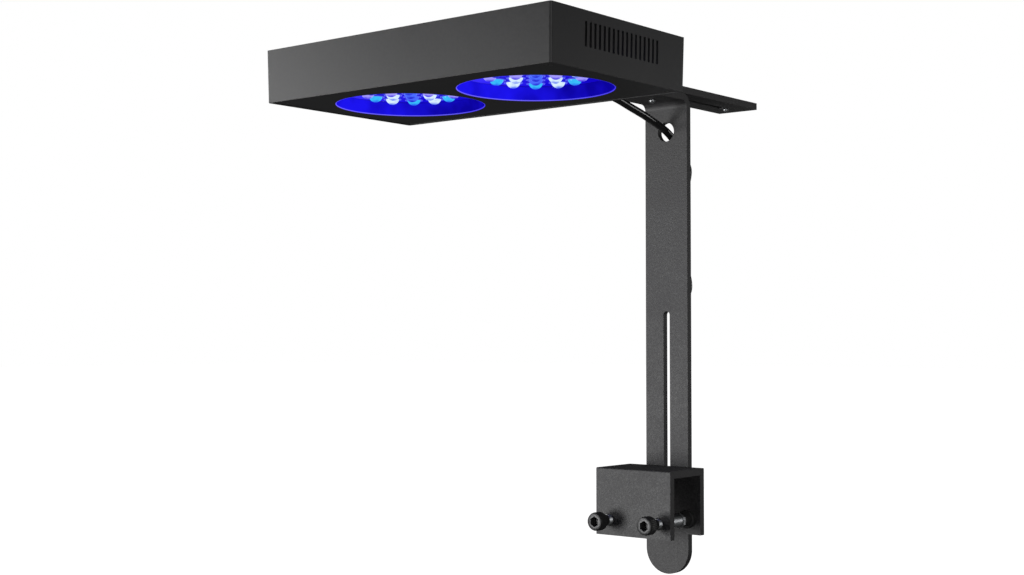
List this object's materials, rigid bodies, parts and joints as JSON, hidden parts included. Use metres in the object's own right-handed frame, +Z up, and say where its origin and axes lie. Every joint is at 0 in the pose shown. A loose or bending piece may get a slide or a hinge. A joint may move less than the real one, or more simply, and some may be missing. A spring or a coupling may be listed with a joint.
{
  "type": "aquarium light",
  "caption": "Flat rectangular LED light head on a sliding arm bar and height-adjustable bent post, held on a tank rim by a channel clamp with two screws.",
  "frame": {"origin": "middle of the underside of the clamp channel's web, where it rests on the tank's rim", "axes": "+X along the light head, +Y away from the tank's middle, +Z up"},
  "size_m": [0.2284, 0.3857, 0.3571],
  "materials": {
    "black_powder_coat": "fine-grained matt black powder coat",
    "black_housing": "satin black coat",
    "black_steel": "black oxide",
    "bright_steel": "bright zinc",
    "black_rubber": "moulded, matt",
    "black_cable": "smooth cable jacket",
    "blue_reflector": "satin, lit blue",
    "lens_acrylic": "clear moulded domes, lit",
    "white_board": "white solder mask",
    "bare_aluminium": "bare extruded",
    "green_board": "green solder mask",
    "black_plastic": "moulded, satin"
  },
  "bodies": {
    "clamp": {"clamp_channel": "black_powder_coat", "lock_screw_upper": "black_steel", "lock_screw_lower": "black_steel", "lock_washer_upper": "black_steel", "lock_washer_lower": "black_steel"},
    "post": {"post_bracket": "black_powder_coat", "flange_screw_rear": "bright_steel", "flange_screw_front": "bright_steel", "flange_washer_rear": "black_steel", "flange_washer_front": "black_steel", "flange_nut_rear": "black_steel", "flange_nut_front": "black_steel", "power_lead": "black_cable", "lead_hank": "black_cable", "lead_tail": "black_cable", "hank_tie": "black_rubber", "plug_body": "black_rubber", "plug_barrel": "bright_steel"},
    "head": {"arm_bar": "black_powder_coat", "bar_screw_1": "black_steel", "bar_screw_2": "black_steel", "bar_screw_3": "black_steel", "stop_screw": "bright_steel", "housing": "black_housing", "face_plate": "black_housing", "heat_sink": "bare_aluminium", "driver_board": "green_board", "reflector_left": "blue_reflector", "reflector_right": "blue_reflector", "lens_array_left": "lens_acrylic", "lens_array_right": "lens_acrylic", "led_board_left": "white_board", "led_board_right": "white_board", "fan_frame_left": "black_plastic", "fan_frame_right": "black_plastic", "plate_screw_1": "black_steel", "plate_screw_2": "black_steel", "plate_screw_3": "black_steel", "plate_screw_4": "black_steel", "cable_gland": "black_rubber"},
    "left_pad": {"pressure_pad_left": "black_rubber"},
    "left_screw": {"clamp_screw_left": "black_steel", "jam_nut_left": "bright_steel"},
    "left_fan": {"fan_rotor_left": "black_plastic"},
    "right_pad": {"pressure_pad_right": "black_rubber"},
    "right_screw": {"clamp_screw_right": "black_steel", "jam_nut_right": "bright_steel"},
    "right_fan": {"fan_rotor_right": "black_plastic"}
  },
  "joints": [
    {"name": "post_height", "type": "slide", "parent": "clamp", "child": "post", "axis": [0, 0, 1], "range_m": [-0.12, 0.006]},
    {"name": "arm_reach", "type": "slide", "parent": "post", "child": "head", "axis": [0, 1, 0], "range_m": [-0.0815, 0.066], "deforming": ["power_lead"]},
    {"name": "left_pad_travel", "type": "slide", "parent": "clamp", "child": "left_pad", "axis": [0, 1, 0], "range_m": [-0.02, 0]},
    {"name": "left_screw_turn", "type": "hinge", "parent": "left_pad", "child": "left_screw", "pos_m": [-0.021, 0, -0.0316], "axis": [0, 1, 0], "range_deg": [-5770, 0]},
    {"name": "left_fan_spin", "type": "hinge", "parent": "head", "child": "left_fan", "pos_m": [-0.065, -0.1964, 0.2715], "axis": [0, 0, 1], "continuous": true},
    {"name": "right_pad_travel", "type": "slide", "parent": "clamp", "child": "right_pad", "axis": [0, 1, 0], "range_m": [-0.02, 0]},
    {"name": "right_screw_turn", "type": "hinge", "parent": "right_pad", "child": "right_screw", "pos_m": [0.021, 0, -0.0316], "axis": [0, 1, 0], "range_deg": [-5770, 0]},
    {"name": "right_fan_spin", "type": "hinge", "parent": "head", "child": "right_fan", "pos_m": [0.065, -0.1964, 0.2715], "axis": [0, 0, 1], "continuous": true}
  ],
  "couplings": [
    {"joint": "left_screw_turn", "follows": "left_pad_travel", "rad_per_m": 5026.5},
    {"joint": "right_screw_turn", "follows": "right_pad_travel", "rad_per_m": 5026.5}
  ]
}
